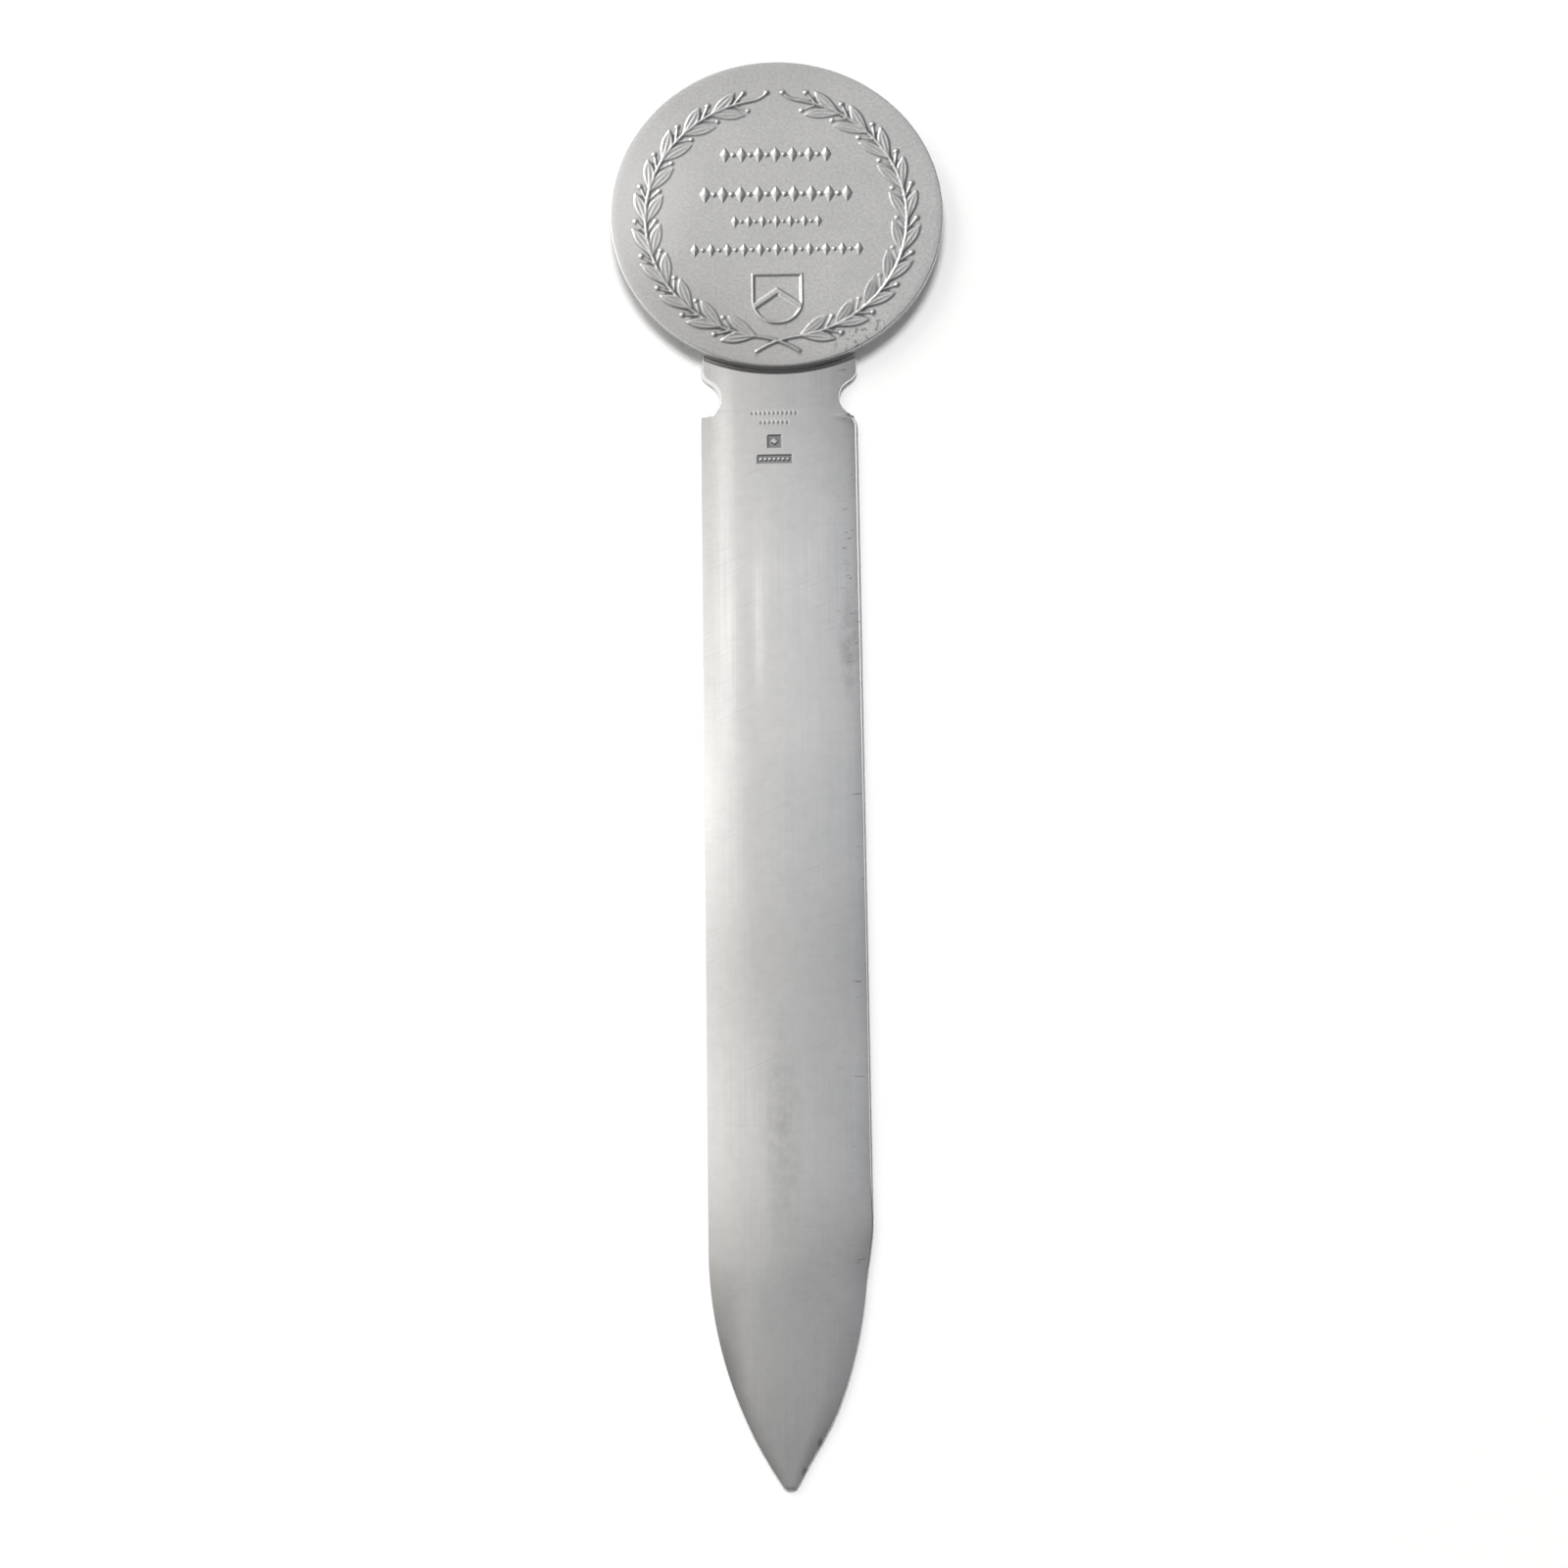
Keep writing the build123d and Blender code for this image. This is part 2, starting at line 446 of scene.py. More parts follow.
def right_side(x, y):
    """1 on the right of the blade below its shoulder, 0 on its left and on the head."""
    below_shoulder = smooth_step(shoulder_y - y, -shoulder_blend, bevel_run_in)
    return smooth_step(x, -side_blend, side_blend) * below_shoulder


def right_bevel(y):
    """Width of the bevel along the right-hand edge: full at the top, worn narrower further down and gone at
    the point."""
    top = smooth_step(y, below_medal - worn_bevel_below_medal, below_medal - full_bevel_below_medal)
    above_point = smooth_step(y, point_y, point_y + bevel_run_out)
    return right_bevel_width * above_point * (worn_bevel_share + (1 - worn_bevel_share) * top)


def blade_front(x, y, edge):
    """Height of the front: a crown, middle - sag * (x / half width)^2, that thins evenly over the point, less
    the rounding of the edge, the easing and the bevel worn into the right-hand one, the bevel round the head
    and the notches, the easing of the point, which narrows as the root of the way to the tip, and the
    punched marks."""
    to_tip = thinning(y)
    middle = head_thickness + (tip_thickness - head_thickness) * to_tip
    sag = (head_thickness - side_thickness) * (1 - to_tip) + (tip_thickness - tip_side_thickness) * to_tip
    height = middle - sag * (x / half_width) ** 2
    right = right_side(x, y)
    height -= right * (1 - at_point(y)) * right_ease_drop * np.clip(1 - edge / right_ease_width, 0, 1) ** 2
    height -= right * right_bevel_slope * eased_ramp(right_bevel(y) - edge, bevel_round)
    head = smooth_step(y, shoulder_y - shoulder_blend, shoulder_y + shoulder_blend)
    left = smooth_step(-x, -head_side_blend, head_side_blend)
    head_bevel = right_head_bevel_width + (left_head_bevel_width - right_head_bevel_width) * left
    height -= head * head_bevel_slope * eased_ramp(head_bevel - edge, bevel_round)
    narrowed = np.sqrt(np.clip((y - tip_y) / point_length, point_ease_least, 1))
    eased = np.clip(1 - edge / (narrowed * point_ease_width), 0, 1) ** 2
    height -= at_point(y) * narrowed * point_ease_drop * eased
    return height - quarter_round(edge, edge_round) - blade_marks(x, y)


def blade_rows():
    """The rows' places along y, from the point to the tongue, close together where the outline turns."""
    nose = nose_y - nose_radius * np.cos(np.linspace(0.2, pi / 2, 14))
    tongue = tongue_y + half_width * np.sin(np.linspace(0, pi / 2 - 0.02, 36))
    in_point = point_y - 6
    under_marks = below_medal - bar_mark_place - 1.2
    under_shoulder = shoulder_y - 0.5
    over_shoulder = shoulder_y + 0.7
    under_lobe = notch_y + 1.5
    over_lobe = notch_y + notch_radius + lobe_round + 0.2
    # Each stretch has its start, its end and the step from row to row
    stretches = (
        (nose[-1], in_point, 0.7),
        (in_point, under_marks, 1.5),
        (under_marks, under_shoulder, 0.1),
        (under_shoulder, over_shoulder, 0.025),
        (over_shoulder, under_lobe, 0.1),
        (under_lobe, over_lobe, 0.05),
        (over_lobe, tongue_y, 1.6),
    )
    runs = [np.arange(start, end, step) for start, end, step in stretches]
    return np.unique(np.concatenate([nose, *runs, tongue]))


def make_blade(material):
    """The blade: a closed plate with its front from blade_front and a flat, round-edged back."""
    rows_y = blade_rows()
    half_widths = half_width_at(rows_y)
    edge_steps = np.concatenate([[0, 0.03, 0.06, 0.1], np.arange(0.15, 0.56, 0.04), [0.65, 0.8, 1.05, 1.5]])
    inside_notches = 2.0
    core_reach = half_width - notch_depth - inside_notches
    core_widths = core_reach * np.minimum(1, np.sqrt(np.clip((rows_y - tip_y) / point_length, 0, None)))
    marks_reach = 3.8
    fine_step = 0.1
    fine = np.arange(-marks_reach, marks_reach + fine_step / 2, fine_step) - marks_left_of_axis
    coarse_left = np.linspace(-core_reach, fine[0] - 3 * fine_step, 7)
    coarse_right = np.linspace(fine[-1] + 3 * fine_step, core_reach, 9)
    core = np.concatenate([coarse_left, fine, coarse_right]) / core_reach
    front_x = columns(half_widths, edge_steps, core_widths, core, np.array([0.25, 0.5, 0.75]))
    y = np.repeat(rows_y[:, None], front_x.shape[1], axis=1)
    front_across = front_x / half_widths[:, None]
    worn_front = front_x - shoulder_worn(front_across, y)
    from_edge = np.clip(blade_edge(front_x, y), 0, None)
    front_z = blade_front(worn_front, y, from_edge)
    worn_front -= worn_off(front_across, y)
    back_steps = np.array([0, 0.03, 0.08, 0.2, 0.6])
    back_x = columns(half_widths, back_steps, core_widths, np.linspace(-1, 1, 7), np.array([0.5]))
    back_y = np.repeat(rows_y[:, None], back_x.shape[1], axis=1)
    back_round = back_edge_round + (point_back_round - back_edge_round) * at_point(back_y)
    back_z = quarter_round(np.clip(blade_edge(back_x, back_y), 0, None), back_round)
    back_across = back_x / half_widths[:, None]
    worn_back = back_x - shoulder_worn(back_across, back_y) - worn_off(back_across, back_y)
    points, faces = closed_plate(rows_y, worn_front, front_z, worn_back, back_z)
    blade = add_piece("blade_dressed", points, faces, material)
    # Painted shade: the punched marks are darkened by their depth
    sunk = np.minimum(1, mark_shade_gain * blade_marks(front_x, y) / mark_depth)
    add_layer(blade, "painted_hollow_shade", np.hstack([sunk, np.zeros_like(back_x)]))
    # Painted shade: a thin dark line along the right-hand edge, from below the shoulder to the point
    outer_line = 1 - smooth_step(from_edge, edge_line_core * edge_line_width, edge_line_width)
    edge_shade_line = outer_line * right_side(front_x, y) * (1 - at_point(y))
    add_layer(blade, "edge", np.hstack([edge_shade_line, np.zeros_like(back_x)]))
    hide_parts("blade")


# Medal


def arc_distance(x, y, centre, radius, start, end):
    """Distance to an arc of a circle between two angles in radians, with round ends."""
    dx = x - centre[0]
    dy = y - centre[1]
    middle = (start + end) / 2
    turn = (np.arctan2(dy, dx) - middle + pi) % (2 * pi) - pi
    nearest = np.clip(turn, (start - end) / 2, (end - start) / 2) + middle
    return np.hypot(dx - radius * np.cos(nearest), dy - radius * np.sin(nearest))


def segment_distance(x, y, start, end):
    """Distance to the straight line between two points."""
    run = end - start
    t = np.clip(((x - start[0]) * run[0] + (y - start[1]) * run[1]) / (run @ run), 0, 1)
    return np.hypot(x - start[0] - t * run[0], y - start[1] - t * run[1])


def on_branch(angle, outward):
    """A place beside the right-hand stem, at an angle in degrees about the wreath's centre."""
    reach = stem_radius + outward
    return np.array([reach * cos(radians(angle)), reach * sin(radians(angle)) - wreath_drop])


def tangent_arc(start, heading, end):
    """Centre, radius and angles of the arc that leaves start along a heading and reaches end. The centre lies
    on the line square to the heading, chord^2 / (2 * sideways reach) away."""
    chord = end - start
    square = np.array([-sin(heading), cos(heading)])
    reach = (chord @ chord) / (2 * (chord @ square))
    centre = start + reach * square
    ends = [np.arctan2(*(point - centre)[::-1]) for point in (start, end)]
    first, second = ends if reach > 0 else ends[::-1]
    return centre, abs(reach), first, first + (second - first) % (2 * pi)


def leaf_relief(x, y, foot, heading, width, bow):
    """One leaf along its heading: t runs from its foot to its tip, and its half width goes as
    sin(pi * t^1.25)^0.95, so that its foot is slim. Its middle line bows sideways by bow * 4t(1 - t). Across
    it q runs from 0 to 1: the edge rises steeply to a raised rim, the halves are hollow, and a midrib stands
    between them."""
    tiny = 1e-6
    dx = x - foot[0]
    dy = y - foot[1]
    t = (dx * cos(heading) + dy * sin(heading)) / leaf_length
    inside = (t > 0) & (t < 1)
    t = np.clip(t, tiny, 1)
    across = dy * cos(heading) - dx * sin(heading) - bow * 4 * t * (1 - t)
    half = width / 2 * np.sin(pi * t**1.25).clip(0) ** 0.95 + tiny
    q = np.abs(across) / half
    rim = np.exp(-(((q - leaf_rim_place) / leaf_rim_spread) ** 2))
    rib = np.exp(-((across / leaf_rib_spread) ** 2)) * (1 - t**3)
    body = leaf_height + leaf_rim_height * rim + leaf_rib_height * rib
    return np.where(inside, body * (1 - smooth_step(q, leaf_rim_place, 1)), 0)


def branch_relief(x, y, breadth, rubbed):
    """The right-hand branch, the highest of its parts: a stem whose tail crosses the middle below and whose
    top curls out, pairs of leaves, and between the pairs two berries on stalks. Its inner side is lower, and
    the rubbed share takes more off it in a bell, e^-(angle / reach)^2, about one place."""
    foot_angle = radians(stem_foot_angle)
    top_angle = radians(stem_top_angle)
    stem = arc_distance(x, y, (0, -wreath_drop), stem_radius, foot_angle, top_angle)
    foot = on_branch(stem_foot_angle, 0)
    tail_end = foot - (tail_length, tail_drop)
    tail = arc_distance(x, y, *tangent_arc(foot, foot_angle - pi / 2, tail_end))
    relief = ridge(np.minimum(stem, tail), stem_width / 2, stem_height)
    top = on_branch(stem_top_angle, 0)
    outward = np.array([cos(top_angle), sin(top_angle)])
    along = np.array([-sin(top_angle), cos(top_angle)])
    curl_end = top + curl_length * along + curl_rise * outward
    curl = arc_distance(x, y, *tangent_arc(top, top_angle + pi / 2, curl_end))
    relief = np.maximum(relief, ridge(curl, curl_width / 2, curl_height))
    relief = np.maximum(relief, ridge(np.hypot(x - curl_end[0], y - curl_end[1]), berry_radius, berry_height))
    follow = np.degrees(leaf_length / stem_radius) / 2
    for node in range(node_count):
        angle = first_node_angle + node_step * node
        foot = on_branch(angle - leaf_setback, 0)
        stalk_foot = on_branch(angle + node_step * stalk_start, 0)
        inner_side = inner_share - rubbed * np.exp(-(((angle - rubbed_angle) / rubbed_reach) ** 2))
        for side in (1, -1):
            heading = radians(angle - leaf_setback + 90 + follow - side * leaf_spread)
            share = 1 if side > 0 else inner_side
            leaf = leaf_relief(x, y, foot, heading, leaf_width * breadth, side * leaf_bow)
            relief = np.maximum(relief, share * leaf)
            berry = on_branch(angle + node_step, side * berry_spread)
            stalk = segment_distance(x, y, stalk_foot, berry)
            relief = np.maximum(relief, ridge(stalk, stalk_width / 2, share * stalk_height))
            bead = np.hypot(x - berry[0], y - berry[1])
            relief = np.maximum(relief, ridge(bead, berry_radius, share * berry_height))
    return relief


def softened(values, passes):
    """Each value averaged with its neighbours along the rings, which wrap round, and across them."""
    for _ in range(passes):
        values = (np.roll(values, 1, axis=1) + 2 * values + np.roll(values, -1, axis=1)) / 4
        padded = np.pad(values, ((1, 1), (0, 0)), mode="edge")
        values = (padded[:-2] + 2 * values + padded[2:]) / 4
    return values


def hollows(wreath, radius):
    """How far each point of the wreath's band lies in a hollow, from 0 to 1: below the softened relief about
    it, or on ground that the wreath mostly covers. Hollows inside the stem count for less. The material
    paints shade and tarnish there by it."""
    close = np.maximum((softened(wreath, 4) - wreath) / hollow_depth, 0)
    covered = softened((wreath > low_relief).astype(float), 40)
    pocket = smooth_step(covered, 0.45, 0.65) * (1 - smooth_step(wreath, low_relief, clear_relief))
    outside = smooth_step(radius, stem_radius - 1, stem_radius + 1)
    return np.clip((close + pocket) * (inner_shade_and_tarnish + (1 - inner_shade_and_tarnish) * outside), 0, 1)


def make_medal(material):
    """The medal: rings about its axis over the face, round the edge and back under it, with the wreath raised
    on the rings of a band. An attribute says how deep a point lies below what surrounds it, and the material
    paints shade and tarnish there by it."""
    around = 1080
    step = 0.11
    skin = 0.01
    quarter = np.linspace(0, pi / 2, 8)
    inner = np.array([1.0, 5.0, 9.0, 13.0, 15.5])
    band = np.arange(wreath_inner_radius, wreath_outer_radius, step)
    past_band = [23.8]
    rim_r = medal_radius - medal_edge_round * (1 - np.sin(quarter))
    rim_z = medal_edge_round * (np.cos(quarter) - 1)
    back_r = medal_radius - medal_back_round * (1 - np.sin(quarter[::-1]))
    back_z = medal_back_round * (1 - np.cos(quarter[::-1]))
    under = np.array([20.0, 12.0, 4.0])
    radii = np.concatenate([inner, band, past_band, rim_r, back_r, under])
    top = np.full(len(inner) + len(band) + len(past_band), medal_face)
    bottom = np.full(len(under), medal_back)
    heights = np.concatenate([top, medal_face + rim_z, medal_back + back_z, bottom])
    angle = np.linspace(0, 2 * pi, around, endpoint=False)
    x = radii[:, None] * np.cos(angle)
    y = radii[:, None] * np.sin(angle)
    z = np.repeat(heights[:, None], around, axis=1)
    rows = slice(len(inner), len(inner) + len(band))
    right_branch = branch_relief(x[rows], y[rows], 1.0, rubbed_share)
    left_branch = branch_relief(-x[rows], y[rows], left_leaf_breadth, 0)
    wreath = np.minimum(softened(np.maximum(right_branch, left_branch), 1), relief_height)
    z[rows] += wreath
    # Painted shade and tarnish in the wreath's hollows, by how deep each point lies
    painted_hollow_shade = np.zeros_like(z)
    painted_hollow_shade[rows] = hollows(wreath, np.hypot(x[rows], y[rows] + wreath_drop))
    # The outermost rings, the edge's wall, are marked for the material to paint them darker as shade
    edge = np.repeat((radii > medal_radius - skin)[:, None], around, axis=1)
    rings = np.stack([x, y + medal_y, z], axis=-1).reshape(-1, 3)
    poles = np.array([[0, medal_y, medal_face], [0, medal_y, medal_back]])
    points = np.vstack([rings, poles])
    here = np.arange(around)
    after = (here + 1) % around
    last = (len(radii) - 1) * around
    face_pole = np.stack([np.full(around, len(rings)), here, after], axis=-1)
    back_pole = np.stack([np.full(around, len(rings) + 1), last + after, last + here], axis=-1)
    sides = loop_faces(len(radii), around)[:, ::-1]
    faces = sides.tolist() + face_pole.tolist() + back_pole.tolist()
    medal = add_piece("medal_dressed", points, faces, material)
    add_layer(medal, "painted_hollow_shade", np.append(painted_hollow_shade.ravel(), [0, 0]))
    add_layer(medal, "edge", np.append(edge.ravel(), [0, 0]))
    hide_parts("medal")


def cushion_points(centre_x, centre_y, half_wide, half_tall, roundness, height, around, levels):
    """A raised cushion on the medal's face: rings of the curve |x/a|^p + |y/b|^p = 1, p the roundness, that
    shrink towards the top as the height rises as 1 - s^2.2. The first ring is sunk into the face."""
    top_share = 0.12
    sunk = 0.1
    turn = np.linspace(0, 2 * pi, around, endpoint=False)
    curve_x = np.sign(np.cos(turn)) * np.abs(np.cos(turn)) ** (2 / roundness)
    curve_y = np.sign(np.sin(turn)) * np.abs(np.sin(turn)) ** (2 / roundness)
    s = np.linspace(1, top_share, levels)
    size = np.append(1, s)
    rise = np.append(-sunk, height * (1 - s**2.2))
    x = centre_x + half_wide * size[:, None] * curve_x
    y = centre_y + half_tall * size[:, None] * curve_y
    z = np.repeat((medal_face + rise)[:, None], around, axis=1)
    return np.stack([x, y, z], axis=-1).reshape(-1, 3)


def make_rows(material):
    """The rows of lozenges with pellets between them, each a small closed cushion standing in the face."""
    around = 24
    levels = 6
    shells = []
    for place, length, height, count in zip(row_places, row_lengths, lozenge_heights, lozenge_counts):
        half_tall = height / 2
        pitch = length / count
        row_y = medal_y + place
        lozenge = (half_tall * lozenge_slimness, half_tall, lozenge_roundness, lozenge_rise)
        pellet = (half_tall * pellet_share, half_tall * pellet_share, pellet_roundness, pellet_rise)
        for shape, number_of in ((lozenge, count), (pellet, count - 1)):
            for number in range(number_of):
                at = (number - (number_of - 1) / 2) * pitch
                shells.append(cushion_points(at, row_y, *shape, around, levels))
    ring_count = levels + 1
    shell_size = ring_count * around
    quads = loop_faces(ring_count, around)
    faces = []
    for number in range(len(shells)):
        start = number * shell_size
        faces += (quads + start).tolist()
        faces.append(list(range(start + around - 1, start - 1, -1)))
        faces.append(list(range(start + shell_size - around, start + shell_size)))
    add_piece("medal_rows", np.vstack(shells), faces, material)


def make_shield(material):
    """The shield: a small closed plate on the face with a raised border, a sunk panel and a chevron. Its
    outline has a flat top, straight sides and two arcs that meet below."""
    blunt = 0.05
    half = shield_width / 2
    top = shield_height / 2
    shoulder = top - shield_shoulder
    arc = (half**2 + (shield_height - shield_shoulder) ** 2) / (2 * half)
    rows_y = np.linspace(-top + blunt, top, 90)
    half_widths = half - arc + np.sqrt(arc**2 - np.minimum(rows_y - shoulder, 0) ** 2)
    edge_steps = np.array([0, 0.06, 0.12, 0.2, 0.4, 0.5, 0.6])
    core_widths = 0.8 * half_widths
    halfway = np.array([0.5])
    front_x = columns(half_widths, edge_steps, core_widths, np.linspace(-1, 1, 60), halfway)
    y = np.repeat(rows_y[:, None], front_x.shape[1], axis=1)
    across = np.abs(front_x)
    sides = arc - np.hypot(across - half + arc, np.minimum(y - shoulder, 0))
    edge = np.minimum(sides, top - y)
    panel = smooth_step(edge, 0, shield_wall)
    border = panel * (1 - smooth_step(edge, shield_border - shield_border_wall, shield_border))
    slope = chevron_drop / (half - shield_border)
    from_chevron = np.abs(y - (chevron_drop / 2 - slope * across)) / sqrt(1 + slope**2)
    chevron = 1 - smooth_step(from_chevron, chevron_width / 2 - chevron_wall, chevron_width / 2)
    raised = np.maximum(border, chevron * (edge > shield_border / 2))
    relief = shield_panel_rise * panel + shield_relief_rise * raised
    back_x = columns(half_widths, np.array([0, 0.3]), core_widths, np.linspace(-1, 1, 5), halfway)
    front_z = medal_face - shield_front_sunk + relief
    back_z = np.full_like(back_x, medal_face - shield_back_sunk)
    points, faces = closed_plate(rows_y, front_x, front_z, back_x, back_z)
    points = points + (0, medal_y - shield_below_centre, 0)
    add_piece("medal_shield", points, faces, material)


# Materials


def add_node(tree, kind, values=None, links=None, **settings):
    """Adds a node with its settings, its sockets' constant values and the sockets that feed it."""
    made = tree.nodes.new(kind)
    for name, value in settings.items():
        setattr(made, name, value)
    for socket, value in (values or {}).items():
        made.inputs[socket].default_value = value
    for socket, source in (links or {}).items():
        tree.links.new(source, made.inputs[socket])
    return made


def new_material(name):
    """A material with an empty tree, and its tree."""
    material = bpy.data.materials.new(name)
    material.use_nodes = True
    material.node_tree.nodes.clear()
    return material, material.node_tree


def noise(tree, place, cell, detail, turn=0.0):
    """A noise whose cells are so many millimetres long in x, y and z, turned by degrees about z."""
    size = [length * MM for length in cell]
    turned = (0, 0, radians(turn))
    mapped = add_node(
        tree,
        "ShaderNodeMapping",
        {"Rotation": turned, "Scale": size},
        {"Vector": place},
        vector_type="TEXTURE",
    )
    look = {"Scale": 1, "Detail": detail, "Roughness": 0.6}
    return add_node(tree, "ShaderNodeTexNoise", look, {"Vector": mapped.outputs[0]}).outputs["Fac"]


def ranged(tree, value, start, end, low=0.0, high=1.0):
    """The value taken from the range start to end into the range low to high, and held there."""
    limits = {"From Min": start, "From Max": end, "To Min": low, "To Max": high}
    return add_node(tree, "ShaderNodeMapRange", limits, {"Value": value}).outputs[0]


def blend(tree, share, first, second):
    """A mix of two colours, each a hex value or a socket, by a share that is a socket."""
    values = {}
    links = {0: share}
    for socket, colour in ((6, first), (7, second)):
        if isinstance(colour, str):
            values[socket] = linear(colour)
        else:
            links[socket] = colour
    return add_node(tree, "ShaderNodeMix", values, links, data_type="RGBA").outputs[2]


def near(tree, place, centre, reach):
    """1 at a place on the object in millimetres, falling to 0 at a reach across and along it."""
    at = (centre[0] * MM, centre[1] * MM, 0)
    size = (reach[0] * MM, reach[1] * MM, 1)
    local = add_node(
        tree,
        "ShaderNodeMapping",
        {"Location": at, "Scale": size},
        {"Vector": place},
        vector_type="TEXTURE",
    )
    away = add_node(tree, "ShaderNodeVectorMath", None, {0: local.outputs[0]}, operation="LENGTH")
    return ranged(tree, away.outputs["Value"], 0, 1, 1, 0)


def times(tree, first, second):
    """The product of two sockets."""
    return add_node(tree, "ShaderNodeMath", None, {0: first, 1: second}, operation="MULTIPLY").outputs[0]


def metal_surface(tree, values, links):
    """Ends a material's tree with a metal that has these values and links."""
    shader = add_node(tree, "ShaderNodeBsdfPrincipled", {"Metallic": 1.0, **values}, links)
    add_node(tree, "ShaderNodeOutputMaterial", None, {"Surface": shader.outputs[0]})


def polished_silver_plate():
    """Silver-plated brass, polished along its length and worn by use: a soft, slightly wavy mirror with fine
    lengthwise lines, hairline scratches across them, a thin grey bloom in patches, and a dark line of painted
    shade along the right-hand edge."""
    material, tree = new_material("silver_plate_polished_and_worn")
    place = add_node(tree, "ShaderNodeTexCoord").outputs["Object"]
    # Polishing lines are a few hundredths of a millimetre apart; they are drawn coarser so that they show
    lines = noise(tree, place, (0.3, 40, 40), 3)
    rubbed = noise(tree, place, (7, 0.5, 7), 2)
    bloom = ranged(tree, noise(tree, place, (16, 24, 20), 4), 0.42, 0.68)
    waves = noise(tree, place, (7, 34, 20), 1)
    scratch = ranged(tree, noise(tree, place, (9, 0.22, 9), 0, 24), 0.76, 0.8)
    across = add_node(tree, "ShaderNodeSeparateXYZ", None, {0: place}).outputs["X"]
    by_right_edge = ranged(tree, across, (half_width - 4.1) * MM, (half_width - 1.6) * MM)
    nick = times(tree, by_right_edge, ranged(tree, noise(tree, place, (2.4, 0.4, 2.4), 0, 6), 0.8, 0.85))
    chip = ranged(tree, noise(tree, place, (1.3, 0.6, 1.3), 1, 12), 0.66, 0.74)
    chipped = times(tree, chip, near(tree, place, (half_width - 1.3, below_medal - 34), (3.4, 24)))
    mottle = noise(tree, place, (1.6, 2.0, 1.6), 4)
    stain = near(tree, place, (-0.9, point_y + 16), (3.4, 19))
    smudge = near(tree, place, (half_width - 1.9, below_medal - 43), (1.7, 10))
    nick_places = ((3.7, tip_y + 6.35), (1.5, tip_y + 2.35))
    tip_nicks = [near(tree, place, centre, (0.5, 1.0)) for centre in nick_places]
    colour = blend(tree, bloom, "#ebeae9", "#e4e4e4")
    colour = blend(tree, ranged(tree, lines, 0.35, 0.7, 0, 0.06), colour, "#bdbdbe")
    colour = blend(tree, ranged(tree, mottle, 0.35, 0.65, 0, 0.1), colour, "#b2b2b2")
    colour = blend(tree, ranged(tree, rubbed, 0.5, 0.75, 0, 0.05), colour, "#b4b4b4")
    colour = blend(tree, ranged(tree, scratch, 0, 1, 0, 0.12), colour, "#8f8f90")
    colour = blend(tree, ranged(tree, nick, 0, 1, 0, 0.4), colour, "#6f6f70")
    colour = blend(tree, ranged(tree, chipped, 0, 0.6, 0, 0.42), colour, "#68686b")
    colour = blend(tree, times(tree, stain, ranged(tree, mottle, 0.35, 0.65, 0.14, 0.36)), colour, "#969692")
    colour = blend(tree, times(tree, smudge, ranged(tree, mottle, 0.35, 0.65, 0.1, 0.5)), colour, "#8c8c8d")
    for dark in tip_nicks:
        colour = blend(tree, ranged(tree, dark, 0, 0.6, 0, 0.5), colour, "#5f5f62")
    # Painted shade in the punched marks
    painted_hollow_shade = add_node(tree, "ShaderNodeAttribute", attribute_name="painted_hollow_shade").outputs["Fac"]
    colour = blend(tree, ranged(tree, painted_hollow_shade, 0, 1, 0, 0.68), colour, "#6c6c70")
    # Painted shade: a dark line along the right-hand edge
    edge = add_node(tree, "ShaderNodeAttribute", attribute_name="edge").outputs["Fac"]
    colour = blend(tree, ranged(tree, edge, 0, 1, 0, 0.92), colour, "#5c5d60")
    line_rough = ranged(tree, lines, 0.3, 0.7, 0.06, 0.11)
    rough = add_node(tree, "ShaderNodeMath", {1: 0.03}, {0: bloom, 2: line_rough}, operation="MULTIPLY_ADD")
    wavy = add_node(tree, "ShaderNodeBump", {"Strength": 1.0, "Distance": 0.02 * MM}, {"Height": waves})
    lined = add_node(
        tree,
        "ShaderNodeBump",
        {"Strength": 0.07, "Distance": 0.02 * MM},
        {"Height": lines, "Normal": wavy.outputs[0]},
    )
    links = {"Base Color": colour, "Roughness": rough.outputs[0], "Normal": lined.outputs[0]}
    metal_surface(tree, {}, links)
    return material


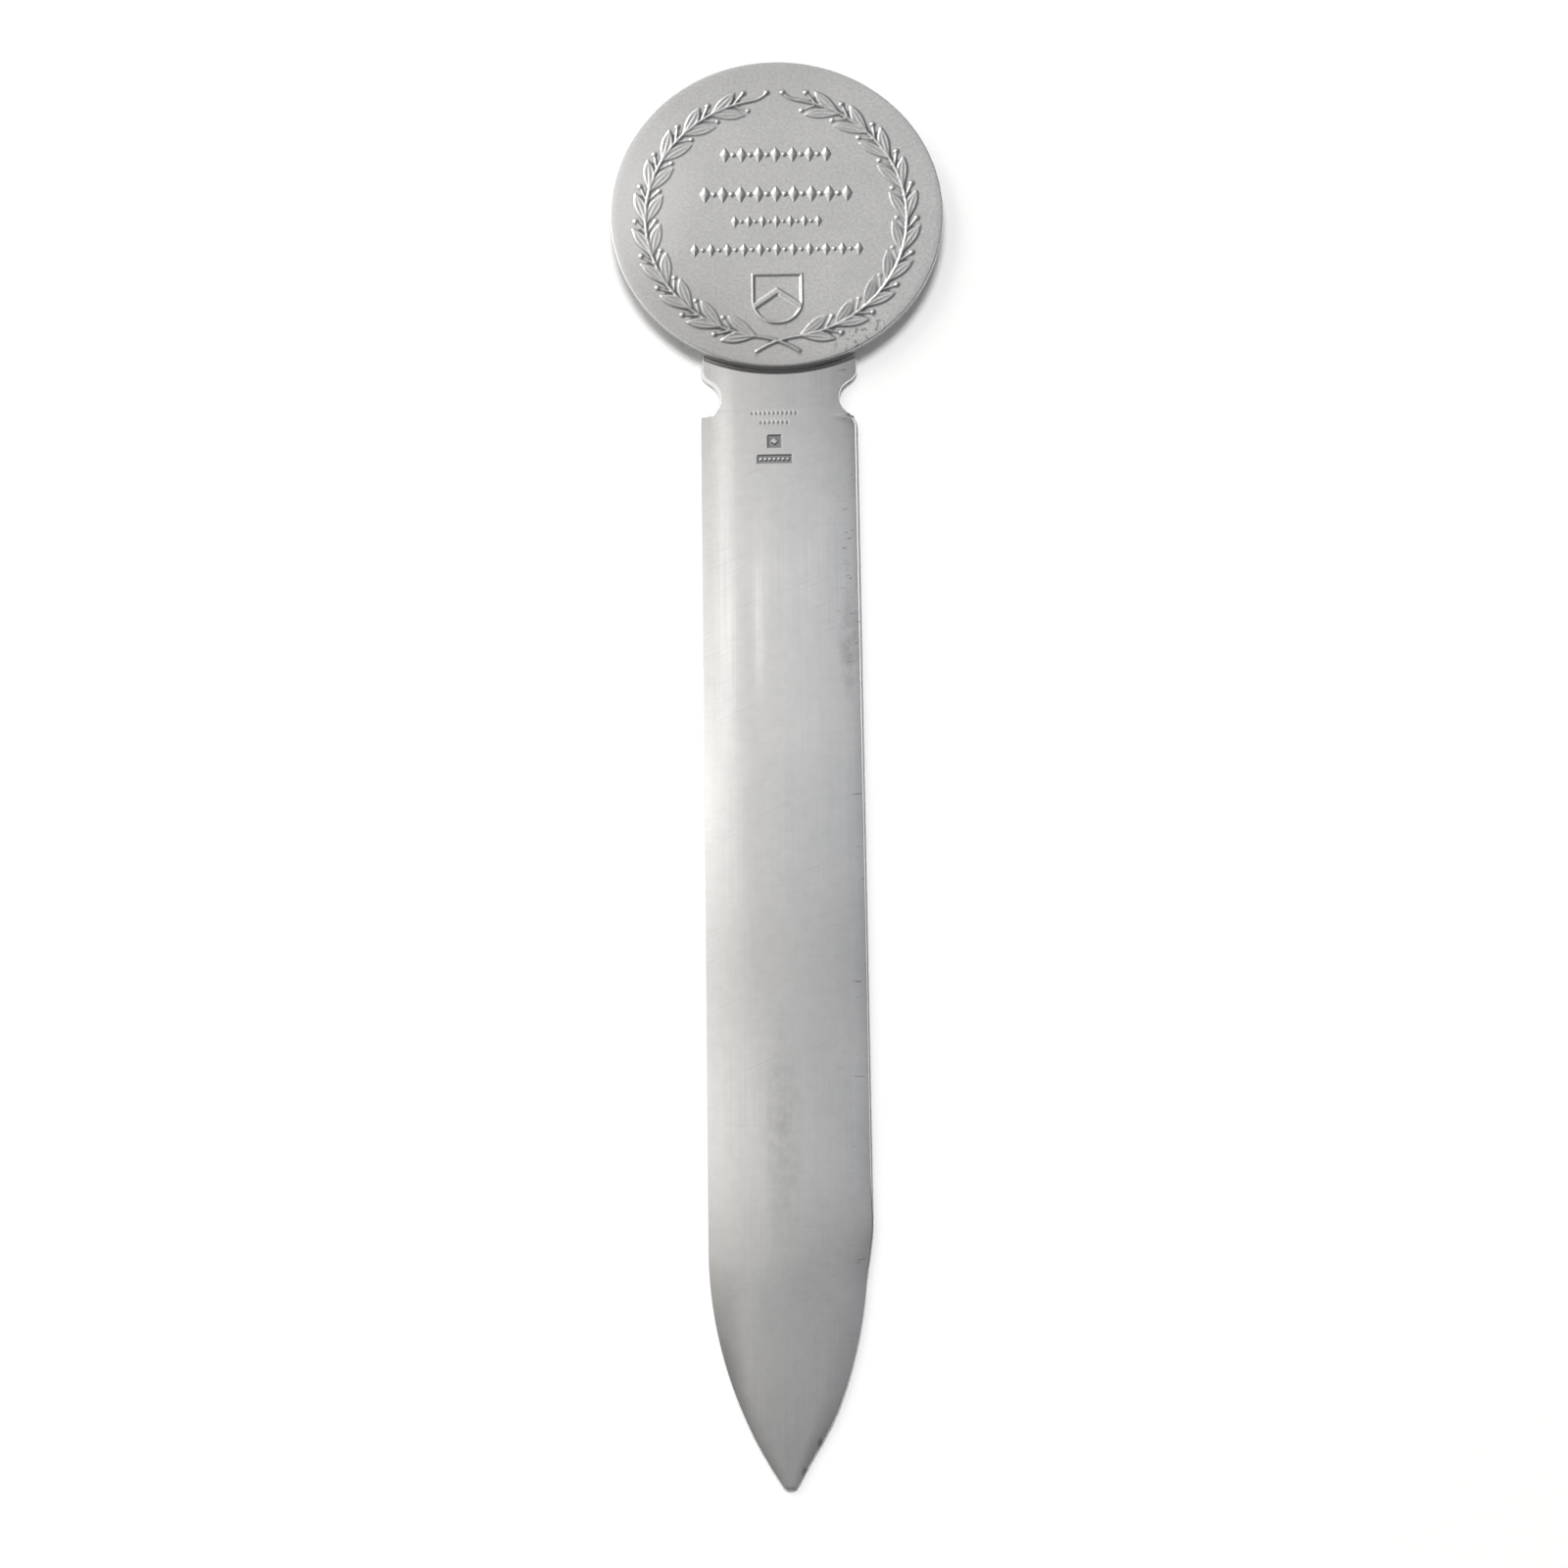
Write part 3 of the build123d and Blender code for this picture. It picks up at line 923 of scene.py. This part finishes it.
def struck_silver_plate():
    """Silver-plated brass, struck in a matted die: a satin face with a fine grain, painted shade and grey
    tarnish in the hollows of the relief, a patch of small pits, and an edge painted darker as shade."""
    material, tree = new_material("silver_plate_struck_satin")
    place = add_node(tree, "ShaderNodeTexCoord").outputs["Object"]
    # The die's grain is finer than a tenth of a millimetre; it is drawn coarser so that it shows
    grain = noise(tree, place, (0.45, 0.45, 0.45), 3)
    cloud = noise(tree, place, (8, 8, 8), 3)
    spots = ranged(tree, noise(tree, place, (0.8, 0.8, 0.8), 2), 0.56, 0.62)
    pits = times(tree, spots, near(tree, place, (13.5, medal_y - 20), (8, 5)))
    colour = blend(tree, cloud, "#f4f3f2", "#dcdcdc")
    colour = blend(tree, ranged(tree, grain, 0.35, 0.65, 0, 0.38), colour, "#b3b3b3")
    # Painted light: the face is lighter on the left; it is also darker at the lower left, bottom and top
    for centre, reach, share, tone in (
        ((-25, medal_y + 3), (15, 16), 0.6, "#fbfaf9"),
        ((-13, medal_y - 20), (20, 15), 0.3, "#aaa8a5"),
        ((2, medal_y - 27), (22, 12), 0.15, "#aeacaa"),
        ((-3, medal_y + 26), (24, 12), 0.25, "#b0b0ae"),
    ):
        colour = blend(tree, ranged(tree, near(tree, place, centre, reach), 0, 0.7, 0, share), colour, tone)
    # Painted shade and tarnish in the hollows of the wreath
    painted_hollow_shade = add_node(tree, "ShaderNodeAttribute", attribute_name="painted_hollow_shade").outputs["Fac"]
    colour = blend(tree, ranged(tree, painted_hollow_shade, 0, 1, 0, 0.8), colour, "#5c5c60")
    colour = blend(tree, ranged(tree, pits, 0, 0.6, 0, 0.6), colour, "#7d7d7e")
    # Painted shade: the medal's edge is darker
    edge = add_node(tree, "ShaderNodeAttribute", attribute_name="edge").outputs["Fac"]
    colour = blend(tree, edge, colour, "#a9aaab")
    rough = ranged(tree, grain, 0.3, 0.7, 0.32, 0.42)
    bump = add_node(tree, "ShaderNodeBump", {"Strength": 0.5, "Distance": 0.03 * MM}, {"Height": grain})
    metal_surface(tree, {}, {"Base Color": colour, "Roughness": rough, "Normal": bump.outputs[0]})
    return material


def flowed_tin_solder():
    """Tin solder that flowed and set: a dull grey metal with soft ripples."""
    material, tree = new_material("tin_solder_flowed")
    place = add_node(tree, "ShaderNodeTexCoord").outputs["Object"]
    ripple = noise(tree, place, (1.6, 1.6, 1.6), 2)
    colour = blend(tree, ripple, "#b4b5b8", "#9b9da1")
    bump = add_node(tree, "ShaderNodeBump", {"Strength": 0.5, "Distance": 0.15 * MM}, {"Height": ripple})
    metal_surface(tree, {"Roughness": 0.42}, {"Base Color": colour, "Normal": bump.outputs[0]})
    return material


# Table, light and camera


def white_table():
    """A matte white table top that keeps the shadow. It glows a little where the camera or a reflection sees
    it, so that it shows about white."""
    glow_share = 0.08
    material, tree = new_material("table_matte_white")
    path = add_node(tree, "ShaderNodeLightPath")
    seen = add_node(
        tree,
        "ShaderNodeMath",
        None,
        {0: path.outputs["Is Camera Ray"], 1: path.outputs["Is Glossy Ray"]},
        operation="MAXIMUM",
    )
    shown = add_node(
        tree,
        "ShaderNodeMath",
        None,
        {0: seen.outputs[0], 1: path.outputs["Is Transmission Ray"]},
        operation="MAXIMUM",
    )
    share = add_node(tree, "ShaderNodeMath", {1: glow_share}, {0: shown.outputs[0]}, operation="MULTIPLY")
    matte = add_node(tree, "ShaderNodeBsdfDiffuse", {"Color": linear("#fdfdfd")})
    glow = add_node(tree, "ShaderNodeEmission", {"Color": (1, 1, 1, 1), "Strength": 1.0})
    mixed = add_node(
        tree, "ShaderNodeMixShader", None, {0: share.outputs[0], 1: matte.outputs[0], 2: glow.outputs[0]}
    )
    add_node(tree, "ShaderNodeOutputMaterial", None, {"Surface": mixed.outputs[0]})
    return material


def make_table():
    """A square of table top that the knife lies on."""
    reach = 2.0
    corners = [(-reach, -reach, 0), (reach, -reach, 0), (reach, reach, 0), (-reach, reach, 0)]
    mesh = bpy.data.meshes.new("table")
    mesh.from_pydata(corners, [], [(0, 1, 2, 3)])
    mesh.materials.append(white_table())
    table = bpy.data.objects.new("table", mesh)
    bpy.context.scene.collection.objects.link(table)


def banded(tree, value, stops):
    """The height at a value on the line through stops (place, height), held level past its ends."""
    heights = [height for _, height in stops]
    low, high = min(heights), max(heights)
    made = add_node(tree, "ShaderNodeValToRGB", None, {"Fac": value})
    elements = made.color_ramp.elements
    elements.remove(elements[1])
    for number, (place, height) in enumerate(stops):
        element = elements.new(place) if number else elements[0]
        element.position = place
        element.color = (*[(height - low) / (high - low)] * 3, 1)
    return ranged(tree, made.outputs["Color"], 0, 1, low, high)


def make_room():
    """The studio's walls and ceiling, whose brightness in a direction (x, y, z) follows y on the axis. On the
    near left it gains up to a height that follows y, and further left it goes on by a slope that follows y,
    to a bright wall at the far left in front. To the right it falls evenly, and past room_right_x faster, by
    a slope that grows with y. No wall is quite dark, and they light the table at half."""
    world = bpy.data.worlds.new("studio")
    bpy.context.scene.world = world
    world.use_nodes = True
    tree = world.node_tree
    tree.nodes.clear()
    way = add_node(tree, "ShaderNodeTexCoord").outputs["Generated"]
    axes = add_node(tree, "ShaderNodeSeparateXYZ", None, {0: way})
    x = axes.outputs["X"]
    y = axes.outputs["Y"]
    near_left = times(tree, ranged(tree, x, 0, room_near_x), banded(tree, y, room_near_left))
    past_near = ranged(tree, x, room_near_x, room_far_x, 0, room_near_x - room_far_x)
    far_left = times(tree, past_near, banded(tree, y, room_far_left))
    in_front = ranged(tree, y, 0.35, 0.2)
    left_wall = times(tree, ranged(tree, x, room_far_x, room_wall_x, 0, room_wall_gain), in_front)
    right = ranged(tree, x, 0, 1, 0, -room_right_loss)
    behind = ranged(tree, y, 0.25, 0.34, 0, room_far_right_slope)
    far_right = times(tree, ranged(tree, x, room_right_x, 1, 0, room_right_x - 1), behind)
    bright = banded(tree, y, room_axis)
    for part in (near_left, far_left, left_wall, right, far_right):
        bright = add_node(tree, "ShaderNodeMath", None, {0: bright, 1: part}, operation="ADD").outputs[0]
    limits = {"Min": room_darkest, "Max": room_brightest}
    seen = add_node(tree, "ShaderNodeClamp", limits, {"Value": bright}).outputs[0]
    matte = add_node(tree, "ShaderNodeLightPath").outputs["Is Diffuse Ray"]
    strength = times(tree, seen, ranged(tree, matte, 0, 1, 1, room_on_table))
    tint = blend(tree, ranged(tree, x, -0.3, 0.3), "#fffdf9", "#f9fbff")
    light = add_node(tree, "ShaderNodeBackground", None, {"Color": tint, "Strength": strength})
    add_node(tree, "ShaderNodeOutputWorld", None, {"Surface": light.outputs[0]})


def add_softbox(name, place, size, radiance, colour, aim):
    """A rectangular softbox at a place in metres that faces along aim. Its power is pi * area * radiance."""
    lamp = bpy.data.lights.new(name, "AREA")
    lamp.shape = "RECTANGLE"
    lamp.size, lamp.size_y = size
    lamp.energy = pi * size[0] * size[1] * radiance
    lamp.color = linear(colour)[:3]
    box = bpy.data.objects.new(name, lamp)
    box.location = place
    box.rotation_euler = Vector(aim).to_track_quat("-Z", "Y").to_euler()
    bpy.context.scene.collection.objects.link(box)


def add_far_light(name, way, spread, share):
    """A far, soft light from a direction, spread over an angle in degrees, that gives the table this share of
    white and isn't seen in the metal, so that it only shapes the shadow."""
    away = Vector(way).normalized()
    lamp = bpy.data.lights.new(name, "SUN")
    lamp.angle = radians(spread)
    lamp.energy = pi * share / away.z
    light = bpy.data.objects.new(name, lamp)
    light.rotation_euler = away.to_track_quat("Z", "Y").to_euler()
    light.visible_glossy = False
    bpy.context.scene.collection.objects.link(light)


def make_camera():
    """A long lens above the point, looking down at the knife with a slight roll."""
    photo_side = 1600
    focal_pixels = 4488
    distance = 0.63565
    elevation = radians(72.42)
    roll = -0.0142
    aim = Vector((-0.06 * MM, (medal_y - 88.92) * MM, 0))
    forward = Vector((0, cos(elevation), -sin(elevation)))
    level_right = Vector((1, 0, 0))
    level_up = level_right.cross(forward)
    right = cos(roll) * level_right + sin(roll) * level_up
    up = cos(roll) * level_up - sin(roll) * level_right
    data = bpy.data.cameras.new("camera")
    data.sensor_width = 36
    data.lens = data.sensor_width * focal_pixels / photo_side
    data.clip_start = 0.01
    camera = bpy.data.objects.new("camera", data)
    turned = Matrix((right, up, -forward)).transposed().to_4x4()
    camera.matrix_world = Matrix.Translation(aim - distance * forward) @ turned
    bpy.context.scene.collection.objects.link(camera)
    bpy.context.scene.camera = camera


plate_polished = polished_silver_plate()
plate_struck = struck_silver_plate()
make_blade(plate_polished)
make_medal(plate_struck)
make_rows(plate_struck)
make_shield(plate_struck)
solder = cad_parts["solder_joint"]
solder.data.materials.clear()
solder.data.materials.append(flowed_tin_solder())
make_table()
make_room()
warm_white = "#fffdfa"
down = (0, 0, -1)
add_softbox("key_left", (-0.95, 1.1, 0.9), (0.7, 0.8), 4.5, warm_white, (0.95, -1.1, -0.9))
add_softbox("outer_strip", (-0.289, 0.598, 1.5), (0.076, 0.204), 0.25, warm_white, down)
add_softbox("inner_strip", (-0.112, 0.555, 1.5), (0.048, 0.053), 0.3, warm_white, down)
add_far_light("fill_behind", (-0.03, 0.42, 1.0), 25, 0.67)
make_camera()
bpy.context.scene.view_settings.view_transform = "Standard"
